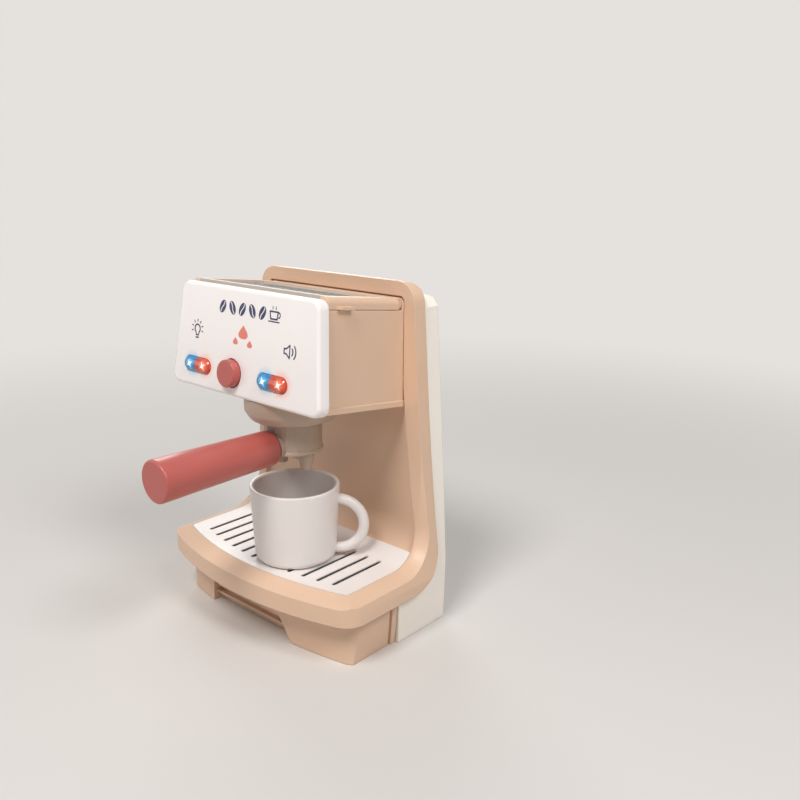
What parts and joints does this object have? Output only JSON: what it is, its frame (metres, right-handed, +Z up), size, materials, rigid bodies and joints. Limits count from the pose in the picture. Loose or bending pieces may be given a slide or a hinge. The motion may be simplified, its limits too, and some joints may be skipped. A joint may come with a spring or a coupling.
{
  "type": "toy coffee maker",
  "caption": "Pretend-play espresso machine with a lidded head, lights, a start button, a turning portafilter with two spouts, a slotted drip tray and a mug.",
  "frame": {"origin": "middle of the flat base on the table", "axes": "+Z up, front towards -Y, +X to the user's right"},
  "size_m": [0.165, 0.1668, 0.21],
  "materials": {
    "beige": "satin",
    "beige_grey": "satin",
    "lid_beige": "satin",
    "shell_white": "satin",
    "panel_white": "gloss",
    "mug_white": "gloss",
    "coral": "satin",
    "lens_blue": "gloss",
    "lens_red": "gloss",
    "led_clear": "gloss",
    "board": "matte",
    "black": "matte",
    "grille_grey": "satin",
    "steel": "satin",
    "battery": "gloss"
  },
  "bodies": {
    "body": {"front_frame": "beige", "base_housing": "beige", "bottom_cover": "shell_white", "rear_shell": "shell_white", "rear_cap": "shell_white", "head_housing": "beige", "front_panel": "panel_white", "led_lens_blue": "lens_blue", "led_lens_red": "lens_red", "leds": "led_clear", "control_board": "board", "tact_switch": "black", "group_collar": "beige_grey", "drip_insert": "panel_white", "speaker": "black", "battery_box": "shell_white", "batteries": "battery", "battery_contacts": "steel", "power_switch": "black", "lid_hinge_pins": "steel", "housing_screws": "steel"},
    "lid": {"lid_frame": "lid_beige", "lid_grille": "grille_grey"},
    "button": {"start_button": "coral"},
    "portafilter": {"portafilter_body": "beige_grey", "portafilter_spouts": "beige_grey", "handle_grip": "coral", "handle_screw": "steel"},
    "mug": {"mug": "mug_white"},
    "door": {"battery_door": "shell_white", "door_screw": "steel"},
    "knob": {"switch_knob": "black"}
  },
  "joints": [
    {"name": "lid_hinge", "type": "hinge", "parent": "body", "child": "lid", "pos_m": [0, 0.01525, 0.1977], "axis": [-1, 0, 0], "range_deg": [0, 75]},
    {"name": "start_press", "type": "slide", "parent": "body", "child": "button", "axis": [0, 0.9932, -0.1167], "range_m": [0, 0.0015], "stiffness_N_per_m": 400},
    {"name": "portafilter_turn", "type": "hinge", "parent": "body", "child": "portafilter", "pos_m": [0.0115, -0.025, 0.1165], "axis": [0, 0, 1], "range_deg": [-45, 0]},
    {"name": "mug_slide", "type": "slide", "parent": "body", "child": "mug", "axis": [0, -1, 0], "range_m": [0, 0.08]},
    {"name": "battery_door_hinge", "type": "hinge", "parent": "body", "child": "door", "pos_m": [0, 0.044, 0.122], "axis": [1, 0, 0], "range_deg": [0, 75]},
    {"name": "power_slide", "type": "slide", "parent": "body", "child": "knob", "axis": [1, 0, 0], "range_m": [0, 0.004]}
  ]
}
